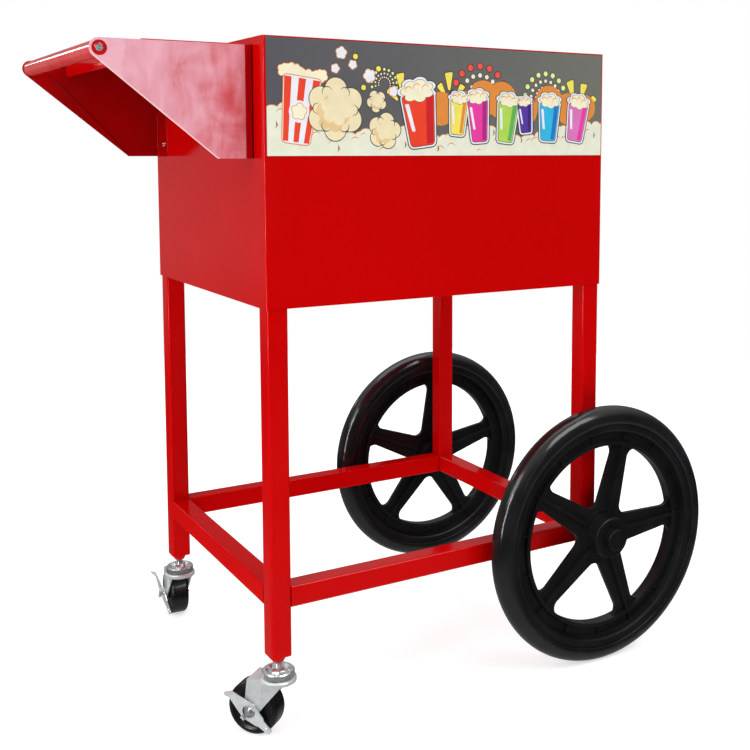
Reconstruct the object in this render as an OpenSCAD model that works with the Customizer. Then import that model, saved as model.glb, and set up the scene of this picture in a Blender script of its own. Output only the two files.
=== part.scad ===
// Popcorn cart: a sheet-metal storage cabinet on a square-tube frame. Two large spoked wheels turn on
// one axle at the right end, two braked swivel casters stand under the left legs, and a push handle
// with a side shelf hangs on the left wall. +Z is up, -Y is the cart's front, +X its wheel end.

/* [Cabinet] */
// Width of the cabinet, left to right
cabinet_w = 560; // [520:5:620]
// Depth of the cabinet, front to back
cabinet_d = 470; // [440:5:520]
// Height of the top deck above the floor
cabinet_top = 952; // [940:1:1000]
// Height of the cabinet's underside above the floor
cabinet_bottom = 595; // [580:1:600]
// Thickness of the sheet metal
sheet = 1.2; // [1:0.1:1.5]
// Outside radius of the two front corners
corner_r = 3; // [2.5:0.5:5]
// Height of the printed panel across the front
graphic_h = 153; // [120:1:160]

/* [Rear door] */
// Width of the door opening
door_w = 468; // [380:2:470]
// Height of the door opening
door_h = 284; // [200:2:286]
// Gap all round the door
door_gap = 1.5; // [1:0.1:2]
// Depth of the turned edges of the door
door_flange = 11; // [8:1:12]

/* [Frame] */
// Side of the square leg tube
leg_w = 30; // [28:0.1:30]
// Wall of the frame tubes
tube_wall = 1.5; // [1.2:0.1:2]
// How far the legs stand inside the cabinet's faces
leg_inset = 1.75; // [1.5:0.05:3]
// Side of the square rail tube
rail_w = 30; // [25:0.5:30]
// Height of the rails' underside, and of the right legs' ends
rail_low = 183.2; // [183:0.1:186]
// Height of the left legs' ends, above the casters
caster_leg_low = 115; // [115:1:120]

/* [Handle] */
// How far the handle's axis is from the cabinet
handle_reach = 197; // [170:0.5:220]
// Height of the handle's axis
handle_z = 929; // [900:1:935]
// Outside radius of the handle tube
handle_r = 11; // [10:0.5:12]
// Round of the bracket's nose, about the handle
nose_r = 12.5; // [12.5:0.5:16]
// Distance of the front bracket from the cabinet's front
bracket_front_y = 35; // [20:1:60]
// Distance of the rear bracket from the cabinet's back
bracket_rear_y = 6; // [4:1:20]
// Height of the brackets' lower edge
bracket_low = 793.5; // [780:0.5:810]
// Length of the brackets' lower edge
bracket_foot = 49.5; // [40:0.5:60]
// Width of the brackets' fixing flange
bracket_flange = 46; // [40:1:52]
// How far the side shelf reaches from the cabinet
shelf_reach = 145; // [120:1:155]
// Height of the side shelf's turned-down edge
shelf_lip = 24; // [15:1:30]

/* [Big wheels] */
// Outside diameter of the tyres
wheel_d = 406.4; // [380:0.4:410]
// Radius of the tyre's round section
tyre_r = 19; // [17:0.5:21]
// Distance of the wheels' middle plane from the cabinet's face
wheel_out = 31; // [30:0.5:36]
// Radius of the axle
axle_r = 6.35; // [6:0.05:6.35]
// Number of spokes
spokes = 5; // [4:1:6]
// Turn of the front wheel as it stands
front_phase = 3; // [0:1:71]
// Turn of the rear wheel as it stands
rear_phase = 13.4; // [0:0.1:71]

/* [Casters] */
// Diameter of the caster wheel
caster_d = 75; // [72:0.5:75]
// Width of the caster wheel
caster_w = 30; // [24:0.5:30]
// Distance of the caster's axle behind its stem
caster_trail = 34; // [30:0.5:36]
// Heading of the front caster's wheel, from +X
front_heading = 130; // [0:0.1:360]
// Heading of the rear caster's wheel, from +X
rear_heading = 86; // [0:0.1:360]
// Slope of the brake lever along the wheel's side
lever_slope = 44; // [20:1:45]
// Tilt of the released brake lever, top out
lever_tilt = 8; // [6:0.5:8]

/* [Hidden] */
FRONT = -1;
REAR = 1;
red = [0.78, 0.02, 0.02];
black = [0.05, 0.05, 0.055];
zinc = [0.78, 0.79, 0.80];
steel = [0.55, 0.56, 0.58];
nylon = [0.9, 0.9, 0.86];

wheel_r = wheel_d / 2;
leg_c = leg_inset + leg_w / 2;          // leg axis from the cabinet's faces
axle_x = cabinet_w - leg_c;             // axle from the cabinet's left face
cab_l = -(axle_x + wheel_r - handle_reach - nose_r) / 2;
cab_f = -cabinet_d / 2;
fit = 0.05;                             // radial clearance of a running fit
touch = 0.1;                            // assembly clearance between flat faces

bracket_top = handle_z + nose_r;
bracket_screw_y = [bracket_front_y + 26, cabinet_d - bracket_rear_y - 34];
bracket_screw_z = [bracket_low + 20, bracket_top - 22];
hem_w = 3;
handle_len = cabinet_d - bracket_rear_y - bracket_front_y - 2 * sheet;
shank_r = 2;                            // sheet-metal screws
screw_hole_r = shank_r + 0.1;
deck_low = cabinet_top - sheet;
deck_flange = 15;
floor_z = cabinet_bottom + sheet;
graphic_z = deck_low - graphic_h - 0.8;

door_l = (cabinet_w - door_w) / 2;
door_r = door_l + door_w;
door_low = 632;
hinge_x = door_r - door_gap / 2;
hinge_y = cabinet_d + 3;
hinge_h = 50;
hinge_z = [door_low + 48, door_low + door_h - 48 - hinge_h];
pin_r = 1.2;
knuckle_r = 2.6;

hub_r = 32;
hub_out = 29;                           // hub face, outboard of the wheel's middle plane
hub_in = 21;                            // hub's inner end, inboard of it
bush_r = 9;
cap_r = 17;
cap_h = 13;
rim_seat = 178;
lip_r = 142;                            // inside of the rim, where the spokes end
spoke_gap = 33.6;                       // spoke's centre line to a window corner's centre
axle_half = cabinet_d / 2 + wheel_out + 37;

caster_r = caster_d / 2;
stem_r = 5;
race_r = 11.6;
ball_r = 2.4;
crown_r = 25;
crown_z = 84;
leg_gap = caster_w / 2 + 1.2;           // inside face of each caster fork leg
fork_t = 2;
bolt_r = 4;
pivot_y = leg_gap + fork_t + 7.2;       // brake pin, outboard of the fork
lever_y = -2.8;                         // lever plate, inboard of its pin

// ---- placing ----

// Measures from the cabinet's front left corner on the floor.
module at(x, y, z) translate([cab_l + x, cab_f + y, z]) children();

// A wheel's own frame: +Z outboard from its middle plane.
module wheel_at(side)
    at(axle_x, cabinet_d / 2 + side * (cabinet_d / 2 + wheel_out), wheel_r)
        rotate([-90 * side, 0, 0]) children();

// A caster's own frame: origin on the floor under the stem, +X towards its axle, +Y on the brake side.
module caster_at(side)
    at(leg_c, side == FRONT ? leg_c : cabinet_d - leg_c, 0)
        rotate([0, 0, side == FRONT ? front_heading : rear_heading]) children();

module caster_axle_at(side) caster_at(side) translate([caster_trail, 0, caster_r]) children();

// The brake lever's own frame: origin on its pin, +X up along the lever, +Z along the pin.
module lever_at(side)
    caster_axle_at(side) rotate([0, -lever_slope, 0]) translate([0, pivot_y, 0])
        rotate([0, 0, lever_tilt]) children();

// ---- shared shapes ----

// Square of side w with true round corners, centred.
module soft_square(w, r) {
    square([w, w - 2 * r], center = true);
    square([w - 2 * r, w], center = true);
    for (x = [-1, 1], y = [-1, 1]) translate([x, y] * (w / 2 - r)) circle(r, $fn = 32);
}

module tube_section(w, r) difference() {
    soft_square(w, r);
    soft_square(w - 2 * tube_wall, r - tube_wall);
}

module ring(r_out, r_in, h, z = 0) translate([0, 0, z]) difference() {
    cylinder(r = r_out, h = h, $fn = 64);
    translate([0, 0, -1]) cylinder(r = r_in, h = h + 2, $fn = 64);
}

// Cabinet's plan, set in from its faces, with round front corners and a square back.
module plan(inset, back = 0) {
    w = cabinet_w - 2 * inset;
    r = corner_r - inset;
    translate([inset, inset]) {
        translate([0, r]) square([w, cabinet_d - inset - r + back]);
        translate([r, 0]) square([w - 2 * r, 2 * r]);
        for (x = [r, w - r]) translate([x, r]) circle(r, $fn = 32);
    }
}

// Squares that let the four legs through.
module leg_notches(play) for (x = [leg_c, cabinet_w - leg_c], y = [leg_c, cabinet_d - leg_c])
    translate([x, y]) square(leg_w + 2 * play, center = true);

// Pan-head screw, its head outwards along +Z, with a cross recess.
module pan_screw(head_r, head_h, r, length) difference() {
    union() {
        cylinder(r1 = head_r, r2 = head_r * 0.72, h = head_h, $fn = 48);
        translate([0, 0, -length]) cylinder(r = r, h = length + 0.1, $fn = 32);
    }
    for (a = [0, 90]) rotate(a) translate([-head_r * 0.5, -0.5, head_h - 1.2])
        cube([head_r, 1, 2]);
}

// ---- frame ----

module leg(x, y, low) color(red) difference() {
    at(x, y, low) linear_extrude(deck_low - low) tube_section(leg_w, 4);
    if (x > cabinet_w / 2) wheel_at(FRONT)
        translate([0, 0, -cabinet_d - 2 * wheel_out]) cylinder(r = axle_r, h = cabinet_d * 2, $fn = 64);
}

module rail_across(y) color(red) at(leg_inset + leg_w, y, rail_low + rail_w / 2) rotate([90, 0, 90])
    linear_extrude(cabinet_w - 2 * leg_inset - 2 * leg_w) tube_section(rail_w, 3);

module rail_along(x) color(red) at(x, leg_inset + leg_w, rail_low + rail_w / 2) rotate([-90, 0, 0])
    linear_extrude(cabinet_d - 2 * leg_inset - 2 * leg_w) tube_section(rail_w, 3);

// Threaded plug welded into the bottom of a left leg.
module caster_boss(y) color(red) at(leg_c, y, caster_leg_low) difference() {
    union() {
        linear_extrude(12) soft_square(leg_w - 2 * tube_wall - touch, 2.4);
        translate([0, 0, -2]) cylinder(r1 = 10.8, r2 = 9.8, h = 2, $fn = 64);
        translate([0, 0, -5]) cylinder(r1 = 10, r2 = 10.8, h = 3, $fn = 64);
        translate([0, 0, -9]) cylinder(r1 = 7.8, r2 = 10, h = 4, $fn = 64);
    }
    translate([0, 0, -15]) cylinder(r = stem_r, h = 30, $fn = 48);
}

// ---- cabinet ----

// Front and both side walls in one bent sheet, with its lower edges turned in.
module cabinet_shell() color(red) at(0, 0, cabinet_bottom) difference() {
    union() {
        linear_extrude(deck_low - cabinet_bottom) difference() {
            plan(0);
            plan(sheet, 10);
        }
        linear_extrude(sheet) difference() {
            plan(0);
            translate([14, 14]) square([cabinet_w - 28, cabinet_d]);
            leg_notches(0.4);
        }
    }
    // holes for the bracket screws
    for (y = bracket_screw_y, z = bracket_screw_z) translate([-1, y, z - cabinet_bottom])
        rotate([0, 90, 0]) cylinder(r = screw_hole_r, h = 4, $fn = 32);
}

module cabinet_floor() color(red) at(0, 0, floor_z) linear_extrude(sheet) difference() {
    translate([sheet + touch, sheet + touch])
        square([cabinet_w - 2 * sheet - 2 * touch, cabinet_d - 2 * sheet - 2 * touch]);
    for (x = [0, cabinet_w]) translate([x, 0]) circle(corner_r + 1, $fn = 32);
    leg_notches(0.4);
}

// Flat tray on top, its edges turned down between the legs.
module top_deck() color(red) at(0, 0, deck_low) {
    linear_extrude(sheet) plan(0);
    for (y = [sheet + touch, cabinet_d - 2 * sheet - touch])
        translate([leg_w + 4, y, -deck_flange]) cube([cabinet_w - 2 * leg_w - 8, sheet, deck_flange + 0.1]);
    for (x = [sheet + touch, cabinet_w - 2 * sheet - touch])
        translate([x, leg_w + 4, -deck_flange]) cube([sheet, cabinet_d - 2 * leg_w - 8, deck_flange + 0.1]);
}

// Back wall with the door opening, the opening's edge turned in.
module rear_surround() color(red) difference() {
    union() {
        at(sheet + touch, cabinet_d - sheet, floor_z + sheet + touch)
            cube([cabinet_w - 2 * sheet - 2 * touch, sheet, deck_low - floor_z - sheet - touch]);
        at(door_l - sheet, cabinet_d - 15, door_low - sheet)
            cube([door_w + 2 * sheet, 15, door_h + 2 * sheet]);
    }
    at(door_l, cabinet_d - 20, door_low) cube([door_w, 30, door_h]);
}

module graphic_panel() color("dimgray") at(4, -1, graphic_z) cube([cabinet_w - 8, 1, graphic_h]);

// ---- handle and side shelf ----

// Side plate of the handle, from y to y + sheet, with its fixing flange turned along +Y or -Y.
module bracket(y, flange_side) color(red) difference() {
    union() {
        at(0, y, 0) rotate([90, 0, 0]) translate([0, 0, -sheet]) linear_extrude(sheet) hull() {
            translate([-handle_reach, handle_z]) circle(nose_r, $fn = 64);
            polygon([[0, bracket_low], [0, bracket_top], [-bracket_foot, bracket_low]]);
        }
        at(-sheet, flange_side > 0 ? y : y + sheet - bracket_flange, bracket_low)
            cube([sheet, bracket_flange, bracket_top - bracket_low]);
        bracket_hem(flange_side > 0 ? y : y + sheet - hem_w);
    }
    at(-handle_reach, y - 5, handle_z) rotate([-90, 0, 0]) cylinder(r = 3.1, h = 12, $fn = 48);
    at(-handle_reach, flange_side > 0 ? y - 1 : y + sheet - 0.5, handle_z) rotate([-90, 0, 0])
        cylinder(r = 9.2, h = 1.5, $fn = 64);
    for (z = bracket_screw_z) at(-5, bracket_screw_y[flange_side > 0 ? 0 : 1], z) rotate([0, 90, 0])
        cylinder(r = screw_hole_r, h = 10, $fn = 32);
}

// Turned edge along the bracket's slope, between its nose and its foot.
module bracket_hem(y) {
    run = handle_reach - bracket_foot;
    drop = handle_z - bracket_low;
    slope = atan2(drop, run) + asin(nose_r / norm([run, drop]));
    at(-bracket_foot, y, bracket_low) rotate([0, slope, 0]) mirror([1, 0, 0])
        translate([2, 0, 0]) cube([norm([run, drop]) - 26, hem_w, sheet]);
}

module push_handle() color(red) at(-handle_reach, bracket_front_y + sheet, handle_z) rotate([-90, 0, 0])
    ring(handle_r, handle_r - tube_wall, handle_len);

// Threaded plugs pressed into the ends of the handle tube.
module handle_inserts() color(steel)
    for (y = [bracket_front_y + sheet, cabinet_d - bracket_rear_y - sheet - 16])
        at(-handle_reach, y, handle_z) rotate([-90, 0, 0]) ring(handle_r - tube_wall, 3, 16);

module handle_screws() color(zinc) {
    at(-handle_reach, bracket_front_y + 0.5, handle_z) rotate([90, 0, 0]) pan_screw(5.8, 2.8, 3, 16);
    at(-handle_reach, cabinet_d - bracket_rear_y - 0.5, handle_z) rotate([-90, 0, 0])
        pan_screw(5.8, 2.8, 3, 16);
}

module bracket_screws() color(zinc) for (y = bracket_screw_y, z = bracket_screw_z)
    at(-sheet, y, z) rotate([0, -90, 0]) pan_screw(4.2, 2.2, shank_r, 10);

module side_shelf() color(red) {
    at(-shelf_reach, bracket_front_y, bracket_top)
        cube([shelf_reach, cabinet_d - bracket_front_y - bracket_rear_y, sheet]);
    at(-shelf_reach, bracket_front_y + sheet + touch, bracket_top - shelf_lip)
        cube([sheet, handle_len - 2 * touch, shelf_lip + 0.5]);
}

// ---- rear door ----

module rear_door() color(red) difference() {
    at(door_l + door_gap, cabinet_d - sheet - door_flange, door_low + door_gap)
        cube([door_w - 2 * door_gap, door_flange + sheet, door_h - 2 * door_gap]);
    at(door_l + door_gap + sheet, cabinet_d - sheet - door_flange - 1, door_low + door_gap + sheet)
        cube([door_w - 2 * door_gap - 2 * sheet, door_flange + 1, door_h - 2 * door_gap - 2 * sheet]);
    knob_at() translate([0, 0, -5]) cylinder(r = screw_hole_r, h = 10, $fn = 32);
}

module knob_at() at(door_l + 34, cabinet_d, door_low + door_h / 2) rotate([-90, 0, 0]) children();

// One hinge leaf, reaching +X from the pin, with knuckles at the given [low, high] heights.
module hinge_leaf(reach, knuckles, bore) difference() {
    union() {
        translate([reach > 0 ? 3.2 : reach, cabinet_d - hinge_y, 0]) cube([abs(reach) - 3.2, 1.2, hinge_h]);
        for (k = knuckles) translate([0, 0, k[0]]) {
            cylinder(r = knuckle_r, h = k[1] - k[0], $fn = 48);
            translate([reach > 0 ? 0 : -4, -2.59, 0]) cube([4, 0.99, k[1] - k[0]]);
        }
    }
    translate([0, 0, -1]) cylinder(r = bore, h = hinge_h + 2, $fn = 48);
}

module hinge_leaves_frame() color(zinc) for (z = hinge_z) at(hinge_x, hinge_y, z)
    hinge_leaf(22, [[0, 16], [34, 50]], pin_r);

module hinge_leaves_door() color(zinc) for (z = hinge_z) at(hinge_x, hinge_y, z)
    hinge_leaf(-22, [[16.4, 33.6]], pin_r + fit);

module hinge_pins() color(steel) for (z = hinge_z) at(hinge_x, hinge_y, z) {
    cylinder(r = pin_r, h = hinge_h, $fn = 48);
    translate([0, 0, hinge_h]) cylinder(r1 = 2.2, r2 = 1.4, h = 1.4, $fn = 48);
}

module door_knob() color(black) knob_at() rotate_extrude($fn = 72) polygon([
    [2, 0], [6.5, 0], [6.5, 2], [5, 8], [5.6, 12], [11, 14], [13, 16.5], [13, 20], [11.5, 22.2],
    [7, 23.6], [0, 24], [0, 14], [2, 14]
]);

module door_knob_screw() color(zinc) knob_at() mirror([0, 0, 1]) translate([0, 0, sheet])
    pan_screw(4.2, 2.2, shank_r, 12 + sheet);

// Magnetic catch on the opening's edge, just behind the door's turned edge.
module door_catch() color(black)
    at(door_l, cabinet_d - sheet - door_flange - 14.3, door_low + door_h / 2 - 16) cube([18, 14, 32]);

// ---- big wheels ----

module wheel_axle() color(steel) at(axle_x, cabinet_d / 2, wheel_r) rotate([90, 0, 0]) {
    cylinder(r = axle_r, h = 2 * axle_half - 2, center = true, $fn = 64);
    for (m = [0, 1]) mirror([0, 0, m]) translate([0, 0, axle_half - 1])
        cylinder(r1 = axle_r, r2 = axle_r - 1, h = 1, $fn = 64);
}

// Tubes that hold the wheels off the legs.
module axle_spacers() color(steel) for (side = [FRONT, REAR]) wheel_at(side)
    ring(10, axle_r, wheel_out + leg_inset - hub_in - touch, -wheel_out - leg_inset);

// Push-on fasteners at the axle's ends, under the hub caps.
module axle_retainers() color(zinc) for (side = [FRONT, REAR]) wheel_at(side)
    ring(12, axle_r, 1.8, hub_out - 3.9);

module tyre(side) color(black) wheel_at(side) rotate_extrude($fn = 144) difference() {
    translate([wheel_r - tyre_r, 0]) circle(tyre_r, $fn = 64);
    translate([0, -tyre_r - 1]) square([rim_seat, 2 * tyre_r + 2]);
}

// Outline of one gap between spokes, centred on +X: a round tip by the hub, two round outer corners.
module window() {
    half = 180 / spokes - asin(spoke_gap / lip_r);
    hull() {
        translate([62, 0]) circle(14, $fn = 32);
        for (a = [-half, half]) rotate(a) translate([lip_r - 13, 0]) circle(14, $fn = 32);
        polygon([for (i = [-8:8]) (lip_r + 1) * [cos(i * half / 8), sin(i * half / 8)]]);
    }
}

// Half of the rim's section, from its inner lip over the channel to the tyre's seat.
function rim_side(s) = [
    [lip_r, 9 * s], [lip_r + 6, 9 * s], [lip_r + 8, 4 * s], [rim_seat - 15, 4 * s],
    [rim_seat - 12.5, 14.5 * s], [rim_seat - 10, 16 * s], [rim_seat, 16 * s]
];

// Spoked wheel centre: stepped rim, ribbed spokes, short webs across the channel, hub.
module rim(side) {
    turn = -side * (side == FRONT ? front_phase : rear_phase);
    color(black) wheel_at(side) rotate(turn) difference() {
        union() {
            difference() {
                translate([0, 0, -3.5]) cylinder(r = lip_r + 2.5, h = 7, $fn = 144);
                for (i = [0:spokes - 1]) rotate((i + 0.5) * 360 / spokes) translate([0, 0, -5])
                    linear_extrude(10) window();
            }
            rotate_extrude($fn = 144) polygon(
                concat(rim_side(1), [for (i = [6:-1:0]) rim_side(-1)[i]]));
            for (i = [0:spokes - 1]) rotate(i * 360 / spokes) {
                translate([28, -2.5, -8.6]) cube([lip_r - 26, 5, 17.2]);
                for (a = [0, 24, 48]) rotate(a) translate([lip_r + 5.5, -1.1, -7.5]) cube([17, 2.2, 15]);
            }
            translate([0, 0, -hub_in]) cylinder(r = 26, h = hub_in, $fn = 96);
            translate([0, 0, -6]) cylinder(r = 40, h = 12, $fn = 96);
            cylinder(r = hub_r, h = hub_out - 1.5, $fn = 96);
            translate([0, 0, hub_out - 1.5]) cylinder(r1 = hub_r, r2 = hub_r - 1.5, h = 1.5, $fn = 96);
        }
        translate([0, 0, -50]) cylinder(r = bush_r, h = 100, $fn = 64);
        translate([0, 0, hub_out - 4]) cylinder(r = 16, h = 10, $fn = 64);
    }
}

module hub_bushes(side) color(nylon) wheel_at(side)
    for (z = [-hub_in, hub_out - 24]) ring(bush_r, axle_r + fit, 20, z);

module hub_cap(side) color(black) wheel_at(side) translate([0, 0, hub_out]) rotate_extrude($fn = 72)
    polygon([
        [14.6, -4], [16, -4], [16, 0], [cap_r, 0], [cap_r, cap_h - 2.5], [cap_r - 0.8, cap_h - 0.8],
        [cap_r - 2.5, cap_h], [0, cap_h], [0, cap_h - 1.8], [14.6, cap_h - 1.8]
    ]);

// ---- casters ----

// Threaded stem with its hex collar, neck and the fixed upper cup that covers the balls.
module caster_stem(side) color(zinc) caster_at(side) {
    translate([0, 0, 78.2]) cylinder(r = 10, h = 2, $fn = 64);
    translate([0, 0, 80]) cylinder(r = 6.9, h = 11, $fn = 64);
    rotate_extrude($fn = 96) polygon([
        [6, 89], [14, 89], [18.2, 92.4], [20.7, 92.4], [20.7, 85.6], [22.5, 85.6], [22.5, 93],
        [21.3, 94.4], [17.6, 94.4], [13.4, 91], [6, 91]
    ]);
    translate([0, 0, 90.9]) cylinder(r = 9.8, h = 8.1, $fn = 6);
    translate([0, 0, 98.9]) cylinder(r = stem_r, h = 31, $fn = 48);
}

module caster_balls(side) color(steel) caster_at(side)
    for (a = [0:30:330]) rotate(a) translate([race_r, 0, crown_z + 2.45]) sphere(ball_r, $fn = 32);

// Swivel fork: round crown with the lower race, sloping hood and two tapering legs.
module caster_fork(side) color(zinc) caster_at(side) difference() {
    union() {
        rotate_extrude($fn = 96) polygon([
            [6, 81.4], [22.4, 81.4], [23.2, 78.4], [crown_r, 78.4], [crown_r, 82.4],
            [crown_r - 1.2, 83.8], [20, crown_z + 0.9], [15.4, crown_z + 0.9], [14.6, crown_z],
            [6, crown_z]
        ]);
        // hood over the wheel
        translate([0, -leg_gap - fork_t, 79.6])
            cube([caster_trail + 5, 2 * (leg_gap + fork_t), fork_t]);
        for (y = [-leg_gap, leg_gap + fork_t]) translate([0, y, 0]) rotate([90, 0, 0])
            linear_extrude(fork_t) hull() {
                translate([caster_trail, caster_r]) circle(10.5, $fn = 48);
                translate([-15, 79.8]) square([caster_trail + 20, 1.8]);
            }
    }
    translate([0, 0, 70]) cylinder(r = 6.95, h = 20, $fn = 64);
    translate([0, 0, 70]) cylinder(r = 10.4, h = 10.6, $fn = 64);
    translate([caster_trail, 0, caster_r]) rotate([90, 0, 0])
        cylinder(r = bolt_r, h = 60, center = true, $fn = 48);
    // pressed crease down each leg
    for (y = [-1, 1]) translate([caster_trail - 19, y * (leg_gap + fork_t), 53])
        rotate([0, 0, 45]) translate([-0.9, -0.9, 0]) cube([1.8, 1.8, 26.4]);
}

module caster_wheel(side) color(black) caster_axle_at(side) rotate([90, 0, 0])
    rotate_extrude($fn = 96) polygon(caster_section());

// Wheel section: crowned tread, hollowed sides and a hub, as [radius, width] points.
function caster_section() = let (h = caster_w / 2, round = [for (a = [0:15:90]) a]) concat(
    [[6.5, -h], [12, -h], [14, -h + 2.5], [27, -h + 2.5], [29, -h + 0.6]],
    [for (a = round) [caster_r - 6 + 6 * sin(a), -h + 6 - 6 * cos(a)]],
    [for (a = round) [caster_r - 6 + 6 * cos(a), h - 6 + 6 * sin(a)]],
    [[29, h - 0.6], [27, h - 2.5], [14, h - 2.5], [12, h], [6.5, h]]
);

// Inner sleeve that the caster wheel turns on.
module caster_sleeve(side) color(steel) caster_axle_at(side) rotate([90, 0, 0])
    ring(6.5 - fit, bolt_r, 2 * leg_gap, -leg_gap);

// Axle bolt, head on the plain side, its end drilled for the brake pin.
module caster_bolt(side) color(zinc) caster_axle_at(side) difference() {
    union() {
        translate([0, -leg_gap - fork_t - 4.5, 0]) rotate([-90, 0, 0]) cylinder(r = 7.2, h = 4.5, $fn = 6);
        translate([0, -leg_gap - fork_t - 1, 0]) rotate([-90, 0, 0])
            cylinder(r = bolt_r, h = leg_gap + fork_t + 1 + pivot_y + 2.4, $fn = 48);
    }
    rotate([0, -lever_slope, 0]) translate([0, pivot_y, 0]) cylinder(r = 1.3, h = 20, center = true, $fn = 32);
}

module caster_nut(side) color(zinc) caster_axle_at(side)
    translate([0, leg_gap + fork_t, 0]) rotate([-90, 0, 0]) difference() {
        cylinder(r = 7.2, h = 4.2, $fn = 6);
        translate([0, 0, -1]) cylinder(r = bolt_r, h = 8, $fn = 48);
    }

// Rocking side-lock lever: leaf-shaped plate round the nut, two ears for the pin, bent-out toe tab.
module brake_lever(side) color(zinc) lever_at(side) difference() {
    union() {
        translate([0, lever_y + 0.8, 0]) rotate([90, 0, 0]) linear_extrude(1.6) {
            hull() {
                circle(13, $fn = 48);
                translate([34, 0]) circle(5, $fn = 32);
            }
            hull() {
                circle(13, $fn = 48);
                translate([-17, 0]) circle(9, $fn = 32);
            }
            hull() {
                translate([-18, 0]) circle(6.5, $fn = 32);
                translate([-38, 0]) circle(4.5, $fn = 32);
            }
        }
        translate([33, lever_y, 0]) rotate([0, 0, 34]) translate([0, 0.8, 0]) rotate([90, 0, 0])
            linear_extrude(1.6) hull() {
                translate([0, -5]) square([2, 10]);
                translate([7, 0]) circle(4.6, $fn = 32);
            }
        // pip pressed out near the lower end
        translate([-34, lever_y + 0.7, 0]) rotate([-90, 0, 0])
            cylinder(r1 = 2.4, r2 = 1.5, h = 1.3, $fn = 32);
        for (z = [-12.2, 10.2]) translate([-3.2, lever_y, z]) cube([6.4, 5.6, 2]);
    }
    translate([0, lever_y, 0]) rotate([90, 0, 0]) cylinder(r = 9.3, h = 20, center = true, $fn = 64);
    cylinder(r = 1.3 + fit, h = 40, center = true, $fn = 32);
}

module brake_pin(side) color(steel) caster_axle_at(side) rotate([0, -lever_slope, 0])
    translate([0, pivot_y, 0]) cylinder(r = 1.3, h = 25.4, center = true, $fn = 32);

// ---- nodes ----

leg(leg_c, leg_c, caster_leg_low);  // leg_front_left
leg(leg_c, cabinet_d - leg_c, caster_leg_low);  // leg_rear_left
leg(cabinet_w - leg_c, leg_c, rail_low);  // leg_front_right
leg(cabinet_w - leg_c, cabinet_d - leg_c, rail_low);  // leg_rear_right
rail_across(leg_inset + rail_w / 2);  // rail_front
rail_across(cabinet_d - leg_inset - rail_w / 2);  // rail_rear
rail_along(leg_inset + rail_w / 2);  // rail_left
rail_along(cabinet_w - leg_inset - rail_w / 2);  // rail_right
caster_boss(leg_c);  // caster_boss_front
caster_boss(cabinet_d - leg_c);  // caster_boss_rear
cabinet_shell();
cabinet_floor();
top_deck();
rear_surround();
graphic_panel();
bracket(bracket_front_y, 1);  // handle_bracket_front
bracket(cabinet_d - bracket_rear_y - sheet, -1);  // handle_bracket_rear
push_handle();
handle_inserts();
handle_screws();
bracket_screws();
side_shelf();
rear_door();
hinge_leaves_frame();
hinge_leaves_door();
hinge_pins();
door_knob();
door_knob_screw();
door_catch();
wheel_axle();
axle_spacers();
axle_retainers();
tyre(FRONT);  // tyre_front
rim(FRONT);  // rim_front
hub_bushes(FRONT);  // hub_bushes_front
hub_cap(FRONT);  // hub_cap_front
tyre(REAR);  // tyre_rear
rim(REAR);  // rim_rear
hub_bushes(REAR);  // hub_bushes_rear
hub_cap(REAR);  // hub_cap_rear
caster_stem(FRONT);  // caster_stem_front
caster_balls(FRONT);  // caster_balls_front
caster_fork(FRONT);  // caster_fork_front
caster_wheel(FRONT);  // caster_wheel_front
caster_sleeve(FRONT);  // caster_sleeve_front
caster_bolt(FRONT);  // caster_bolt_front
caster_nut(FRONT);  // caster_nut_front
brake_lever(FRONT);  // brake_lever_front
brake_pin(FRONT);  // brake_pin_front
caster_stem(REAR);  // caster_stem_rear
caster_balls(REAR);  // caster_balls_rear
caster_fork(REAR);  // caster_fork_rear
caster_wheel(REAR);  // caster_wheel_rear
caster_sleeve(REAR);  // caster_sleeve_rear
caster_bolt(REAR);  // caster_bolt_rear
caster_nut(REAR);  // caster_nut_rear
brake_lever(REAR);  // brake_lever_rear
brake_pin(REAR);  // brake_pin_rear
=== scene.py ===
"""Popcorn cart: finishes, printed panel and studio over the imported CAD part."""

import math
from random import Random

import bpy
from mathutils import Euler, Matrix, Vector
from mathutils.geometry import tessellate_polygon


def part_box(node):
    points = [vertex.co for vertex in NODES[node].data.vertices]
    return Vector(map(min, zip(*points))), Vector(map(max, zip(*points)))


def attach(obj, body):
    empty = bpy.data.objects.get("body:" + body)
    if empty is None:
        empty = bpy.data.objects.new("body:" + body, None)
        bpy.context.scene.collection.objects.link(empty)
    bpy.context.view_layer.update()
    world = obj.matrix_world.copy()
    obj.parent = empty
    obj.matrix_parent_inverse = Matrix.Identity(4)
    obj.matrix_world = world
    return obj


MM = 0.001

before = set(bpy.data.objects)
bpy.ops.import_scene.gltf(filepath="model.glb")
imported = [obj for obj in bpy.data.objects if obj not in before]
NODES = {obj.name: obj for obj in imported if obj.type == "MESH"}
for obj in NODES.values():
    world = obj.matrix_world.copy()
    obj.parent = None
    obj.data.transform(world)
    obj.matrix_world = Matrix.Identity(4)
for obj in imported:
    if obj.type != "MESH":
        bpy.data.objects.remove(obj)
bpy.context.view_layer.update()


# ---- materials ----

def srgb(red, green, blue):
    """Linear colour from display values of 0 to 255."""
    def linear(value):
        value /= 255
        return value / 12.92 if value <= 0.04045 else ((value + 0.055) / 1.055) ** 2.4
    return (linear(red), linear(green), linear(blue), 1)


def dimmed(colour, share):
    """An opaque colour at a share of its strength."""
    return tuple(part * share for part in colour[:3]) + (1,)


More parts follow.
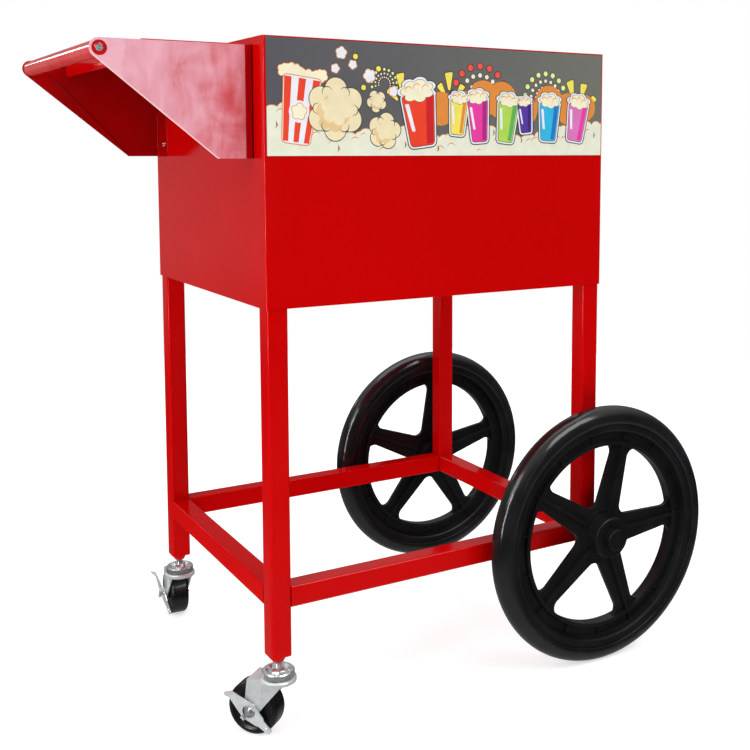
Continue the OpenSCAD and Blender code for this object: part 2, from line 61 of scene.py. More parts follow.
class Finish:
    """A material built round one Principled shader, in object coordinates of metres."""

    def __init__(self, name, **sockets):
        self.material = bpy.data.materials.new(name)
        self.material.use_nodes = True
        self.tree = self.material.node_tree
        self.shader = self.tree.nodes["Principled BSDF"]
        for socket, value in sockets.items():
            self.shader.inputs[socket.replace("_", " ")].default_value = value
        self.place = self.tree.nodes.new("ShaderNodeTexCoord").outputs["Object"]

    def node(self, kind, inputs=(), **properties):
        """A shader node, with each input set to a value or linked from a socket."""
        made = self.tree.nodes.new("ShaderNode" + kind)
        for name, value in properties.items():
            setattr(made, name, value)
        for name, value in dict(inputs).items():
            if isinstance(value, bpy.types.NodeSocket):
                self.tree.links.new(value, made.inputs[name])
            else:
                made.inputs[name].default_value = value
        return made

    def maths(self, operation, first, second, **properties):
        made = self.node("Math", {0: first, 1: second}, operation=operation, **properties)
        return made.outputs[0]

    def noise(self, scale, detail, distortion=0.0, where=None):
        return self.node("TexNoise", {
            "Vector": self.place if where is None else where,
            "Scale": scale, "Detail": detail, "Distortion": distortion,
        }).outputs["Fac"]

    def ramp(self, value, low, high):
        """value stretched so that low becomes 0 and high becomes 1."""
        return self.node("MapRange", {"Value": value, "From Min": low, "From Max": high}).outputs[0]

    def between(self, value, first, second):
        """A number from first to second, as value goes from 0 to 1."""
        return self.node("MapRange", {"Value": value, "To Min": first, "To Max": second}).outputs[0]

    def mixed(self, value, first, second):
        """A colour from first to second, as value goes from 0 to 1."""
        mix = self.node("Mix", data_type="RGBA")
        self.tree.links.new(value, mix.inputs[0])
        for socket, colour in ((mix.inputs[6], first), (mix.inputs[7], second)):
            if isinstance(colour, bpy.types.NodeSocket):
                self.tree.links.new(colour, socket)
            else:
                socket.default_value = colour
        return mix.outputs[2]

    def drive(self, socket, value):
        self.tree.links.new(value, self.shader.inputs[socket])

    def colour(self, share, first, second):
        """Base colour from first to second, as share goes from 0 to 1."""
        self.drive("Base Color", self.mixed(share, first, second))

    def roughness(self, share, first, second):
        """Roughness from first to second, as share goes from 0 to 1."""
        self.drive("Roughness", self.between(share, first, second))

    def bump(self, height, depth, strength):
        """Relief of a depth in millimetres. It comes last and gives the finished material."""
        made = self.node("Bump", {"Height": height, "Distance": depth * MM, "Strength": strength})
        self.drive("Normal", made.outputs[0])
        return self.material


def red_paint(name="red_enamel", red=192, ior=1.36):
    """Baked gloss enamel: faint orange peel, slightly uneven depth of colour."""
    paint = Finish(name, Roughness=0.1, IOR=ior)
    patches = paint.ramp(paint.noise(5, 4), 0.35, 0.7)
    paint.colour(patches, srgb(red, 2, 3), srgb(red - 6, 2, 3))
    paint.roughness(paint.noise(38, 4), 0.05, 0.16)
    return paint.bump(paint.noise(420, 2), 0.03, 0.5)


# soft borders of the painted reflection, painted shade and painted highlight on the near handle
# bracket, in mm: from the first number to the second
DIMPLE = (9.2, 9.8)   # distance from the handle's axis
FACE = (2.6, 2.2)     # depth behind the bracket's front
FOLD = (10.4, 11.2)   # distance from the bracket's cabinet end
GAP_SHADOW = (2.0, 1.6)   # distance from the same end
EDGE_HIGHLIGHT = (1.9, 1.3)     # distance in from the sloping edge


def painted_reflection_paint():
    """The same enamel with a painted reflection, pale pink in soft blotches and streaks and paler
    towards the nose, and a painted highlight along the sloping edge.
    The painted reflection is left out in the dimple, behind the front face and on the fold; the
    fold is painted a darker red as shade, and the gap at the cabinet end near black as painted
    shadow."""
    paint = Finish("red_enamel_painted_reflection", Roughness=0.25, IOR=1.36)
    low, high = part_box("handle_bracket_front")
    axis = (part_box("push_handle")[0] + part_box("push_handle")[1]) / 2
    split = paint.node("SeparateXYZ", {0: paint.place})
    across, back, up = (split.outputs[name] for name in "XYZ")
    flat = paint.node("CombineXYZ", {0: across, 2: up}).outputs[0]

    def both(first, second):
        return paint.maths("MULTIPLY", first, second)

    # parts of the bracket
    reach = paint.node("VectorMath", {0: flat, 1: (axis.x, 0, axis.z)}, operation="DISTANCE")
    outside = paint.ramp(reach.outputs["Value"], *(mm * MM for mm in DIMPLE))
    face = paint.ramp(back, *(low.y + mm * MM for mm in FACE))
    plate = paint.ramp(across, *(high.x - mm * MM for mm in FOLD))
    # the last 2 mm of the front face at the cabinet end, for a painted shadow in the gap
    gap_shadow = both(face, paint.ramp(across, *(high.x - mm * MM for mm in GAP_SHADOW)))
    # a stripe just inside the sloping edge, for a painted highlight
    foot = Vector((low.x + 160 * MM, 0, low.z))
    nose = Vector((low.x + 4.6 * MM, 0, axis.z - 9.7 * MM))
    way = (nose - foot).normalized()
    normal = Vector((way.z, 0, -way.x))
    inward = paint.node("VectorMath", {0: flat, 1: tuple(normal)}, operation="DOT_PRODUCT")
    edge_highlight = paint.ramp(inward.outputs["Value"], *(normal.dot(foot) + mm * MM for mm in EDGE_HIGHLIGHT))

    # the painted reflection itself: soft blotches and streaks, paler towards the nose
    swirl = paint.noise(13, 6, 1.8)
    stretched = paint.node("Mapping", {"Vector": paint.place, "Scale": (60, 1, 16)}).outputs[0]
    streaks = paint.noise(1, 4, 0.6, stretched)
    marks = paint.maths("ADD", paint.between(swirl, -0.5, 0.5), paint.between(streaks, -0.35, 0.35))
    fading = paint.node("MapRange", {"Value": across, "From Min": low.x, "From Max": high.x,
                                     "To Min": 1.0, "To Max": 0.38}).outputs[0]
    reflection_strength = paint.maths("ADD", marks, fading, use_clamp=True)
    painted_reflection = both(both(reflection_strength, outside), both(plate, face))

    # the fold strip of the front face, near the cabinet end, is darker red: painted shade
    lit = paint.maths("MAXIMUM", plate, paint.between(face, 1, 0))
    base_with_fold_shade = paint.mixed(lit, srgb(158, 3, 5), srgb(190, 3, 5))
    reflected_colour = paint.mixed(painted_reflection, base_with_fold_shade, srgb(228, 168, 182))
    # a pale pink stripe inside the sloping edge: painted highlight
    with_edge_highlight = paint.mixed(both(edge_highlight, both(plate, face)), reflected_colour, srgb(240, 196, 200))
    # near black at the cabinet end of the front face: painted shadow in the gap at the cabinet side
    paint.colour(gap_shadow, with_edge_highlight, srgb(20, 4, 4))
    paint.roughness(painted_reflection, 0.08, 0.42)
    return paint.bump(paint.noise(420, 2), 0.03, 0.3)


def painted_sheen_paint():
    """The enamel of the push handle, pink-tinted by a painted sheen of reflected light, paler and
    rougher in soft patches.
    """
    paint = Finish("red_enamel_painted_sheen", Roughness=0.2, IOR=1.45)
    sheen_patches = paint.ramp(paint.noise(30, 4), 0.35, 0.7)
    paint.colour(sheen_patches, srgb(208, 52, 52), srgb(212, 72, 70))
    paint.roughness(sheen_patches, 0.1, 0.18)
    return paint.bump(paint.noise(20, 2), 0.02, 0.2)


def printed_board():
    """Dark grey laminated print, slightly paler and warmer towards its right end."""
    board = Finish("printed_board", Roughness=0.32, Coat_Weight=0.35, Coat_Roughness=0.08)
    low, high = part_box("graphic_panel")
    split = board.node("SeparateXYZ", {0: board.place})
    across = board.ramp(split.outputs["X"], low.x, high.x)
    tone = board.maths("ADD", across, board.between(board.noise(9, 3), -0.12, 0.12))
    board.colour(tone, srgb(84, 83, 90), srgb(112, 113, 105))
    return board.bump(board.noise(900, 1), 0.01, 0.3)


def ink(name, colour):
    """Printed colour under the laminate, with a slight change of density."""
    print_ = Finish("ink_" + name, Roughness=0.34, Coat_Weight=0.3, Coat_Roughness=0.08)
    density = print_.ramp(print_.noise(60, 3), 0.35, 0.65)
    print_.colour(density, colour, dimmed(colour, 0.93))
    return print_.bump(print_.noise(900, 1), 0.01, 0.3)


def tyre_rubber():
    """Solid moulded tyre: glossy black, slightly uneven."""
    rubber = Finish("tyre_rubber", Roughness=0.15, Specular_IOR_Level=0.5)
    cloud = rubber.ramp(rubber.noise(26, 4), 0.4, 0.75)
    rubber.colour(cloud, (0.007, 0.007, 0.0075, 1), (0.012, 0.012, 0.013, 1))
    rubber.roughness(rubber.noise(40, 4), 0.1, 0.2)
    return rubber.bump(rubber.noise(60, 2), 0.03, 0.2)


def rim_plastic():
    """Moulded black plastic, satin, with a fine grain."""
    plastic = Finish("rim_plastic", Roughness=0.4, Specular_IOR_Level=0.25)
    cloud = plastic.ramp(plastic.noise(18, 4), 0.4, 0.7)
    plastic.colour(cloud, (0.004, 0.004, 0.0045, 1), (0.008, 0.008, 0.009, 1))
    plastic.roughness(plastic.noise(45, 4), 0.3, 0.48)
    return plastic.bump(plastic.noise(1500, 2), 0.04, 0.4)


def zinc_plate(name="zinc_plate", metal=0.9):
    """Bright zinc plating over steel, with soft blotches."""
    zinc = Finish(name, Metallic=metal, Roughness=0.2)
    cloud = zinc.ramp(zinc.noise(90, 4), 0.3, 0.7)
    zinc.colour(cloud, (0.82, 0.8364, 0.8364, 1), (0.656, 0.6888, 0.697, 1))
    zinc.roughness(zinc.noise(240, 5), 0.1, 0.24)
    return zinc.bump(zinc.noise(600, 3), 0.03, 0.3)


def chrome():
    """Chrome-plated screw heads."""
    plate = Finish("chrome", Metallic=1.0, Roughness=0.08)
    plate.colour(plate.noise(300, 2), (0.86, 0.86, 0.88, 1), (0.78, 0.78, 0.80, 1))
    plate.roughness(plate.noise(500, 3), 0.05, 0.16)
    return plate.bump(plate.noise(900, 2), 0.01, 0.3)


def bright_steel():
    """Cold-drawn steel, slightly cloudy."""
    steel = Finish("bright_steel", Metallic=1.0, Roughness=0.32)
    steel.colour(steel.noise(140, 4), (0.52, 0.53, 0.55, 1), (0.62, 0.62, 0.63, 1))
    steel.roughness(steel.noise(300, 4), 0.22, 0.42)
    return steel.bump(steel.noise(800, 3), 0.02, 0.4)


def plain_plastic(name, colour, low, high):
    """Moulded plastic or rubber of one colour with a fine grain."""
    plastic = Finish(name, Roughness=(low + high) / 2)
    cloud = plastic.ramp(plastic.noise(40, 4), 0.35, 0.7)
    plastic.colour(cloud, colour, dimmed(colour, 0.8))
    plastic.roughness(plastic.noise(110, 4), low, high)
    return plastic.bump(plastic.noise(900, 3), 0.03, 0.4)


FINISHES = {  # for each material slot: its material and its edge round in mm
    "red_paint": (red_paint(), 0.5),
    "printed_panel": (printed_board(), 0.15),
    "tyre": (tyre_rubber(), 0.4),
    "rim_plastic": (rim_plastic(), 0.9),
    "nylon": (plain_plastic("nylon", (0.72, 0.71, 0.66, 1), 0.35, 0.55), 0.3),
    "bright_steel": (bright_steel(), 0.3),
    "chrome_screw": (chrome(), 0.25),
    "zinc_plate": (zinc_plate(), 0.35),
    "knob_plastic": (plain_plastic("knob_plastic", (0.012, 0.012, 0.013, 1), 0.2, 0.35), 0.5),
    "catch_plastic": (plain_plastic("catch_plastic", (0.03, 0.03, 0.032, 1), 0.4, 0.6), 0.6),
    "caster_rubber": (plain_plastic("caster_rubber", (0.005, 0.005, 0.006, 1), 0.16, 0.34), 0.5),
}
DULL_PAINT = red_paint("red_enamel_dull", 190, 1.12)
PRESSED_ZINC = zinc_plate("zinc_pressed", 0.55)
OWN_MATERIALS = {  # nodes that look different from the rest of their slot
    # the near handle bracket: enamel with a painted reflection, painted shade and painted highlight
    # in its colour
    "handle_bracket_front": painted_reflection_paint(),
    # the far handle bracket: the same enamel in a darker red, painted shade for the shadow of the
    # near bracket and the handle
    "handle_bracket_rear": red_paint("red_enamel_painted_shade", 152),
    # the push handle: enamel with a painted sheen in its colour
    "push_handle": painted_sheen_paint(),
    "rail_left": DULL_PAINT,
    "rail_rear": DULL_PAINT,
    "caster_fork_front": PRESSED_ZINC,
    "caster_fork_rear": PRESSED_ZINC,
    "brake_lever_front": PRESSED_ZINC,
    "brake_lever_rear": PRESSED_ZINC,
}


# ---- CAD nodes: material, softened edges, smooth shading ----

SHARP = math.radians(35)  # an edge that turns by more than this is rounded
WELD_REACH = 1e-6  # m


def soften(piece, width):
    """Joins the imported faces, rounds the sharp edges and evens the shading, all as modifiers."""
    weld = piece.modifiers.new("weld", "WELD")
    weld.merge_threshold = WELD_REACH
    bevel = piece.modifiers.new("edge_round", "BEVEL")
    bevel.width = width * MM
    bevel.segments = 2
    bevel.limit_method = "ANGLE"
    bevel.angle_limit = SHARP
    bevel.harden_normals = True
    bevel.use_clamp_overlap = True
    even = piece.modifiers.new("even_normals", "WEIGHTED_NORMAL")
    even.keep_sharp = True


for node_name, node in NODES.items():
    material, edge_round = FINISHES[node.data.materials[0].name]
    node.data.materials[0] = OWN_MATERIALS.get(node_name, material)
    soften(node, edge_round)


# ---- printed panel ----

class Print:
    """Flat printed shapes on the front panel, in millimetres from its lower left corner.

    Each layer lies a hair above the last, and so does each shape within a layer."""

    LAYER_STEP = 0.03  # mm from one layer to the next
    SHAPE_STEP = 0.12  # of a layer, from one shape to the next
    LEVELS = 8         # shapes of one layer before their levels start again

    def __init__(self, panel):
        self.low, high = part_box(panel)
        self.width = (high.x - self.low.x) / MM
        self.height = (high.z - self.low.z) / MM
        self.shapes = {}
        self.counts = {}

    def lay(self, layer, ink_name, outline):
        """One filled shape, cut off at the panel's edges."""
        points = clipped(outline, self.width, self.height)
        if len(points) > 2:
            count = self.counts[layer] = self.counts.get(layer, -1) + 1
            level = layer + self.SHAPE_STEP * (count % self.LEVELS)
            self.shapes.setdefault(ink_name, []).append((level, points))

    def make(self, inks, body):
        """One piece for each ink, with all the shapes printed in it."""
        for ink_name, shapes in self.shapes.items():
            points, faces = [], []
            for level, outline in shapes:
                start = len(points)
                y = self.low.y - (level + 1) * self.LAYER_STEP * MM
                points += [(self.low.x + u * MM, y, self.low.z + v * MM) for u, v in outline]
                flat = [Vector((u, v, 0)) for u, v in outline]
                for a, b, c in tessellate_polygon([flat]):
                    turn = (flat[b] - flat[a]).cross(flat[c] - flat[a]).z
                    faces.append((start + a, start + b, start + c) if turn > 0
                                 else (start + a, start + c, start + b))
            mesh = bpy.data.meshes.new("print_" + ink_name)
            mesh.from_pydata(points, [], faces)
            mesh.materials.append(inks[ink_name])
            piece = bpy.data.objects.new("print_" + ink_name, mesh)
            bpy.context.scene.collection.objects.link(piece)
            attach(piece, body)


def clipped(outline, width, height):
    """The part of an outline that lies on the panel."""
    sides = ((0, 0, 1), (0, width, -1), (1, 0, 1), (1, height, -1))
    points = [tuple(p) for p in outline]
    for axis, limit, way in sides:
        kept = []
        for i, here in enumerate(points):
            before = points[i - 1]
            inside, was = (way * (p[axis] - limit) >= 0 for p in (here, before))
            if inside != was:
                t = (limit - before[axis]) / (here[axis] - before[axis])
                kept.append(tuple(b + (h - b) * t for b, h in zip(before, here)))
            if inside:
                kept.append(here)
        points = kept
    return points


def leaning(art, pivot, degrees):
    """A function like art.lay for shapes that are turned about pivot."""
    c, s = math.cos(math.radians(degrees)), math.sin(math.radians(degrees))

    def lay(layer, ink_name, outline):
        art.lay(layer, ink_name, [(pivot[0] + c * (u - pivot[0]) - s * (v - pivot[1]),
                                   pivot[1] + s * (u - pivot[0]) + c * (v - pivot[1]))
                                  for u, v in outline])
    return lay


def disc(u, v, r, count=24):
    angles = (math.tau * i / count for i in range(count))
    return [(u + r * math.cos(a), v + r * math.sin(a)) for a in angles]


def flake(u, v, r, lobes, turn=0.0, border=0.0, squash=1.0):
    """A popped kernel: round lobes with nicks between them, with an even border round it."""
    nick, count = 0.26, lobes * 12
    result = []
    for i in range(count):
        a = math.tau * i / count
        reach = r * (1 - nick + nick * abs(math.cos(lobes * (a - turn) / 2)) ** 0.7) + border
        result.append((u + reach * math.cos(a), v + squash * reach * math.sin(a)))
    return result


def stroke(points, width):
    """A brush stroke along points, fine at both ends."""
    left, right = [], []
    for i, (u, v) in enumerate(points):
        before, after = points[max(i - 1, 0)], points[min(i + 1, len(points) - 1)]
        along = Vector((after[0] - before[0], after[1] - before[1])).normalized()
        half = width / 2 * (0.25 + 0.75 * math.sin(math.pi * i / (len(points) - 1)))
        left.append((u - half * along.y, v + half * along.x))
        right.append((u + half * along.y, v - half * along.x))
    return left + right[::-1]


def arc(u, v, r, start, end, count=10):
    """Points on a circle from one angle to another, in degrees."""
    angles = [math.radians(start + (end - start) * i / (count - 1)) for i in range(count)]
    return [(u + r * math.cos(a), v + r * math.sin(a)) for a in angles]


def rounded(corners, r):
    """A closed outline with its corners rounded by r."""
    steps = 5
    result = []
    for i, here in enumerate(corners):
        here = Vector(here)
        before, after = Vector(corners[i - 1]), Vector(corners[(i + 1) % len(corners)])
        start = here + (before - here).normalized() * min(r, (before - here).length / 2)
        end = here + (after - here).normalized() * min(r, (after - here).length / 2)
        for k in range(steps + 1):
            t = k / steps
            result.append(tuple(start * (1 - t) ** 2 + here * 2 * t * (1 - t) + end * t ** 2))
    return result


def beaker(u, low, foot, top, height, border=0.0):
    """A cup's outline, wider at the top, with an even border round it."""
    corners = [(u - foot - border, low - border), (u + foot + border, low - border),
               (u + top + border, low + height + border), (u - top - border, low + height + border)]
    return rounded(corners, foot * 0.3 + border)


def popcorn_bank(art):
    """A bank of popcorn along the panel's lower edge, drawn over with curls and short strokes."""
    random = Random(11)
    step, marks = 1.5, 34

    def crest(u):
        """The bank's height, without its bumps: highest near both ends."""
        return (30 + 26 * math.exp(-((u - 20) / 60) ** 2)
                + 24 * math.exp(-((u - art.width + 10) / 40) ** 2) + 8 * math.sin(u / 23))

    bumps, u = [], -6.0
    while u < art.width + 8:
        r = random.uniform(7, 13)
        bumps.append((u, crest(u) - r * 0.35, r))
        u += r * random.uniform(1.1, 1.6)
    for layer, ink_name, border in ((0, "orange", 1.0), (1, "heap_cream", 0.0)):
        points = [(0, 0)]
        for i in range(int(art.width / step) + 2):
            u = min(i * step, art.width)
            tops = [v + math.sqrt(max((r + border) ** 2 - (u - c) ** 2, 0))
                    for c, v, r in bumps if abs(u - c) < r + border]
            points.append((u, max(tops + [crest(u)])))
        art.lay(layer, ink_name, points + [(art.width, 0)])
    for k in range(marks):
        u = art.width * (k + random.uniform(0.1, 0.9)) / marks
        v = random.uniform(0.08, 0.9) * crest(u)
        if k % 3:
            r = random.uniform(5, 9)
            art.lay(2, "orange", stroke(arc(u, v, r, 160, 50 + random.uniform(-25, 20)), 1.4))
        else:
            art.lay(2, "brown", stroke([(u, v + 9), (u + 1.5, v + 4), (u - 0.5, v)], 2.4))


def popcorn_cup(art, colour, shade, u, low, width, height, lean):
    """A coloured paper cup with a white head of popcorn, in a white and a black outline."""
    lay = leaning(art, (u, low), lean)
    top, foot, tall = width / 2, width * 0.36, height * 0.72
    mouth = low + height * 0.78

    def head(share, border, squash):
        return flake(u, mouth, width * share, 7, 0.4, border, squash)

    for layer, ink_name, border in ((8, "black", 4.4), (9, "white", 3.0)):
        lay(layer, ink_name, beaker(u, low, foot, top, tall, border))
        lay(layer, ink_name, head(0.56, border, 0.6))
    lay(10, "black", beaker(u, low, foot, top, tall, 0.8))
    lay(11, colour, beaker(u, low, foot, top, tall))
    lay(12, shade, rounded([(u + foot * 0.35, low + 2), (u + foot - 1.5, low + 2),
                            (u + top - 1.5, low + tall - 1), (u + top * 0.5, low + tall - 1)], 2))
    glint = [(u - foot * 0.8, low + tall * 0.3), (u - foot * 0.5, low + tall * 0.3),
             (u - top * 0.6, low + tall * 0.85), (u - top * 0.85, low + tall * 0.85)]
    lay(12, "white", rounded(glint, 2))
    lay(13, "black", head(0.52, 0.8, 0.58))
    lay(14, "cream", head(0.52, 0.0, 0.58))
    for share in (-0.26, 0, 0.26):
        middle = (u + share * width, mouth + width * (0.08 - abs(share) * 0.2))
        lay(15, "orange", stroke(arc(*middle, width * 0.11, 200, 10, 8), 1.3))


def starburst(art, colour, u, v, reach):
    """A fan of stems with dots that grow outwards."""
    for i in range(11):
        a = math.radians(-14 + i * 20.8)
        way = Vector((math.cos(a), math.sin(a)))
        stem = [tuple(Vector((u, v)) + way * reach * t) for t in (0.3, 0.6, 0.95)]
        art.lay(2, "brown", stroke(stem, 0.9))
        for share, size in ((0.45, 0.055), (0.7, 0.07), (0.98, 0.1)):
            centre = Vector((u, v)) + way * reach * share
            art.lay(3, "black", disc(*centre, reach * size + 0.9, 16))
            art.lay(4, colour if share > 0.9 else "cream", disc(*centre, reach * size, 16))


def wedge(art, u, v, length, lean):
    """A yellow wedge in a black outline, wider at its far end."""
    lay = leaning(art, (u, v), lean)
    narrow, wide = length * 0.07, length * 0.26
    for layer, ink_name, border in ((5, "black", 0.9), (6, "yellow", 0.0)):
        lay(layer, ink_name, rounded([(u - narrow - border, v - border),
                                      (u + narrow + border, v - border),
                                      (u + wide + border, v + length + border),
                                      (u - wide - border, v + length * 0.94 + border)], 3))


def striped_box(art, u, low, width, height, lean):
    """A paper popcorn box with red stripes and a full, spilling top."""
    lay = leaning(art, (u, low), lean)
    top, foot = width / 2, width * 0.36
    random = Random(7)
    for k in range(7):
        centre = (u - top + width * k / 6, low + height + random.uniform(2, 10))
        turn = random.uniform(0, 1.2)
        for layer, ink_name, border in ((8, "orange", 1.1), (9, "cream", 0.0)):
            lay(layer, ink_name, flake(*centre, width * 0.16, 5, turn, border))
    lay(10, "orange", beaker(u, low, foot, top, height, 1.2))
    lay(11, "white", beaker(u, low, foot, top, height))
    for k in (0, 2, 4):
        share = [(-1 + 2 * (k + d) / 5) * 0.96 for d in (0, 1)]
        lay(12, "red", [(u + foot * share[0], low + 2), (u + foot * share[1], low + 2),
                        (u + top * share[1], low + height - 2),
                        (u + top * share[0], low + height - 2)])
    spot = (u, low + height * 0.48)
    lay(13, "white", disc(*spot, width * 0.27))
    lay(14, "orange", flake(*spot, width * 0.2, 5, 0.3, 1.0))
    lay(15, "cream", flake(*spot, width * 0.2, 5, 0.3))


def big_kernel(art, u, v, r, lobes, turn, layer=8):
    """One large popped kernel, shaded, with curls inside."""
    art.lay(layer, "dark_grey", flake(u, v, r, lobes, turn, 1.2))
    art.lay(layer + 1, "beige", flake(u, v, r, lobes, turn))
    art.lay(layer + 2, "deep_beige", flake(u - r * 0.1, v - r * 0.14, r * 0.6, lobes, turn + 0.3))
    art.lay(layer + 3, "beige", flake(u + r * 0.02, v + r * 0.02, r * 0.54, lobes, turn + 0.3))
    for k in range(lobes):
        a = turn + math.tau * (k + 0.5) / lobes
        curl = arc(u + r * 0.62 * math.cos(a), v + r * 0.62 * math.sin(a), r * 0.17,
                   math.degrees(a) - 100, math.degrees(a) + 90, 9)
        art.lay(layer + 4, "dark_grey", stroke(curl, 1.3))


INKS = {
    "black": (20, 18, 20), "white": (236, 236, 242), "cream": (245, 236, 205),
    "heap_cream": (232, 232, 212), "orange": (226, 140, 62), "brown": (150, 84, 40),
    "dark_grey": (74, 70, 66), "beige": (240, 224, 184), "deep_beige": (232, 200, 146),
    "red": (236, 66, 40), "deep_red": (205, 30, 40), "coral": (236, 84, 74),
    "yellow": (246, 226, 96), "lime": (176, 216, 84), "green": (96, 176, 92),
    "lime_white": (224, 240, 160), "magenta": (232, 62, 160), "plum": (176, 40, 130),
    "indigo": (88, 56, 160), "violet": (60, 40, 120), "cyan": (52, 182, 226),
    "blue": (36, 120, 196), "pink": (222, 120, 190),
}
STARBURSTS = (("coral", 328, 82, 47), ("lime_white", 445, 84, 38), ("lime_white", 172, 98, 20))
WEDGES = ((199, 88, 26, 6), (193, 76, 22, 44), (276, 92, 26, 2), (270, 84, 20, 34),
          (288, 84, 20, -34), (497, 86, 28, 14), (512, 84, 26, -14), (524, 74, 22, -46))
ORANGE_DISCS = ((262, 66, 24), (303, 68, 24), (334, 82, 26), (366, 80, 27), (408, 66, 22),
                (452, 78, 26), (488, 70, 24), (520, 72, 20))
SMALL_FLAKES = ((107, 137, 8), (124, 122, 6), (149, 108, 9), (186, 88, 7), (98, 116, 6))
YELLOW_DOTS = ((128, 133), (163, 118), (140, 92))
CUPS = (  # colour, shade, middle, foot, width, height, lean in degrees
    ("red", "deep_red", 233, 14, 52, 98, 7), ("yellow", "orange", 289, 30, 28, 66, -4),
    ("magenta", "plum", 328, 20, 34, 82, 4), ("lime", "green", 372, 20, 34, 78, -6),
    ("indigo", "violet", 410, 34, 24, 58, 5), ("cyan", "blue", 450, 22, 36, 76, -3),
    ("pink", "magenta", 500, 22, 36, 76, -8),
)


def panel_art():
    """Popcorn heap, box, cups, starbursts and wedges, all of plain generic design."""
    art = Print("graphic_panel")
    popcorn_bank(art)
    for burst in STARBURSTS:
        starburst(art, *burst)
    for place in WEDGES:
        wedge(art, *place)
    for place in ORANGE_DISCS:
        art.lay(7, "orange", disc(*place))
    striped_box(art, 40, 16, 54, 88, -7)
    for u, v, r in SMALL_FLAKES:
        for layer, ink_name, border in ((8, "orange", 1.1), (9, "white", 0.0)):
            art.lay(layer, ink_name, flake(u, v, r, 5, u, border))
    for place in YELLOW_DOTS:
        art.lay(8, "black", disc(*place, 4.6, 16))
        art.lay(9, "yellow", disc(*place, 3.7, 16))
    big_kernel(art, 98, 62, 42, 6, 0.5, 16)
    big_kernel(art, 172, 34, 25, 5, 0.1)
    big_kernel(art, 160, 74, 15, 5, 0.8)
    for cup in CUPS:
        popcorn_cup(art, *cup)
    art.make({name: ink(name, srgb(*rgb)) for name, rgb in INKS.items()}, "frame")


panel_art()


# ---- studio ----

LIGHTS = (  # name, place, target, width and height in m, power in W
    ("key", (0.9, -2.8, 3.2), (0, 0, 0.5), 2.4, 1.8, 66),
    ("left", (-3.2, -0.8, 2.4), (0, 0, 0.5), 2.2, 1.6, 44),
    ("top", (0.2, 0.6, 3.6), (0, 0, 0.4), 3.0, 3.0, 40),
    ("card", (0.25, -2.45, 0.95), (-0.37, -0.2, 0.87), 0.62, 0.95, 0.5),
    ("strip", (-2.7, -1.15, 0.85), (-0.2, -0.1, 0.6), 0.28, 1.7, 26),
    ("rim", (-0.99, 2.95, 1.46), (-0.47, 0, 0.93), 0.22, 0.22, 1.6),
)
FLOOR_RADIUS = 2.6  # m
FLOOR_SIDES = 96


def softbox(name, place, target, width, height, power):
    """A rectangular light aimed at target, which the camera doesn't see."""
    data = bpy.data.lights.new(name, "AREA")
    data.shape = "RECTANGLE"
    data.size, data.size_y = width, height
    data.energy = power
    lamp = bpy.data.objects.new(name, data)
    bpy.context.scene.collection.objects.link(lamp)
    lamp.location = place
    lamp.rotation_euler = (Vector(target) - lamp.location).to_track_quat("-Z", "Y").to_euler()
    lamp.visible_camera = False


def floor():
    """A round pale floor, bright enough to run into the white behind it."""
    mesh = bpy.data.meshes.new("floor")
    angles = (math.tau * i / FLOOR_SIDES for i in range(FLOOR_SIDES))
    rim = [FLOOR_RADIUS * Vector((math.cos(a), math.sin(a), 0)) for a in angles]
    mesh.from_pydata(rim, [], [range(FLOOR_SIDES)])
    made = bpy.data.objects.new("floor", mesh)
    bpy.context.scene.collection.objects.link(made)
    pale = Finish("pale_floor", Roughness=0.9, Emission_Strength=0.6, Emission_Color=(1, 1, 1, 1))
    made.visible_glossy = False
    pale.colour(pale.noise(3, 2), (0.58, 0.62, 0.62, 1), (0.61, 0.65, 0.65, 1))
    mesh.materials.append(pale.material)


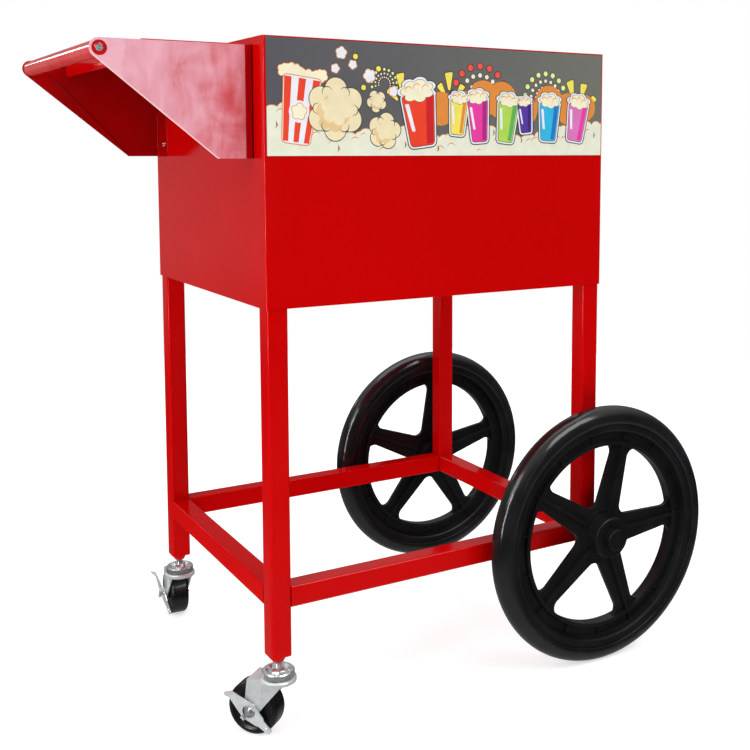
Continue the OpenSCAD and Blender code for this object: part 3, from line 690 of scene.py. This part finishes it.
def surroundings():
    """Bright overhead, dim behind the cart and below it, and nearly black in front, so that the
    front panels keep their colour. The camera itself sees plain white."""
    world = bpy.data.worlds.new("studio")
    bpy.context.scene.world = world
    world.use_nodes = True
    nodes, links = world.node_tree.nodes, world.node_tree.links
    split = nodes.new("ShaderNodeSeparateXYZ")
    links.new(nodes.new("ShaderNodeTexCoord").outputs["Generated"], split.inputs[0])

    def eased(axis, start, end, low, high):
        """From low to high, as the view direction's part along axis goes from start to end."""
        made = nodes.new("ShaderNodeMapRange")
        made.interpolation_type = "SMOOTHSTEP"
        links.new(split.outputs[axis], made.inputs["Value"])
        for socket, value in zip(("From Min", "From Max", "To Min", "To Max"),
                                 (start, end, low, high)):
            made.inputs[socket].default_value = value
        return made.outputs[0]

    def maths(operation, *values):
        made = nodes.new("ShaderNodeMath")
        made.operation = operation
        for value, socket in zip(values, made.inputs):
            links.new(value, socket)
        return made.outputs[0]

    back = eased("Y", -0.3, 0.7, 0.04, 0.2)
    above_floor = eased("Z", -0.22, -0.08, 0.06, 1)
    overhead = eased("Z", 0.2, 0.9, 0, 0.8)
    below = eased("Z", -0.25, -0.65, 0, 0.34)
    total = maths("ADD", maths("MULTIPLY_ADD", back, above_floor, overhead), below)
    shown = nodes.new("ShaderNodeMix")
    links.new(nodes.new("ShaderNodeLightPath").outputs["Is Camera Ray"], shown.inputs[0])
    links.new(total, shown.inputs[2])
    shown.inputs[3].default_value = 1.0
    links.new(shown.outputs[0], nodes["Background"].inputs["Strength"])
    nodes["Background"].inputs["Color"].default_value = (1, 1, 1, 1)


def camera():
    """In front of the cart and to its left, as high as the cabinet, with a shifted lens."""
    data = bpy.data.cameras.new("camera")
    data.sensor_width = 36
    data.lens = 52.2624
    data.shift_x, data.shift_y = -0.0956, -0.1646
    data.clip_start, data.clip_end = 0.05, 200
    made = bpy.data.objects.new("camera", data)
    bpy.context.scene.collection.objects.link(made)
    made.location = (-0.8013, -1.5663, 0.8075)
    yaw, pitch, roll = (math.radians(a) for a in (31.307, 5.426, 0.085))
    turn = Euler((math.pi / 2 - pitch, 0, -yaw)).to_matrix() @ Matrix.Rotation(roll, 3, "Z")
    made.rotation_euler = turn.to_euler()
    bpy.context.scene.camera = made


floor()
surroundings()
for light in LIGHTS:
    softbox(*light)
camera()
view = bpy.context.scene.view_settings
view.view_transform = "Standard"
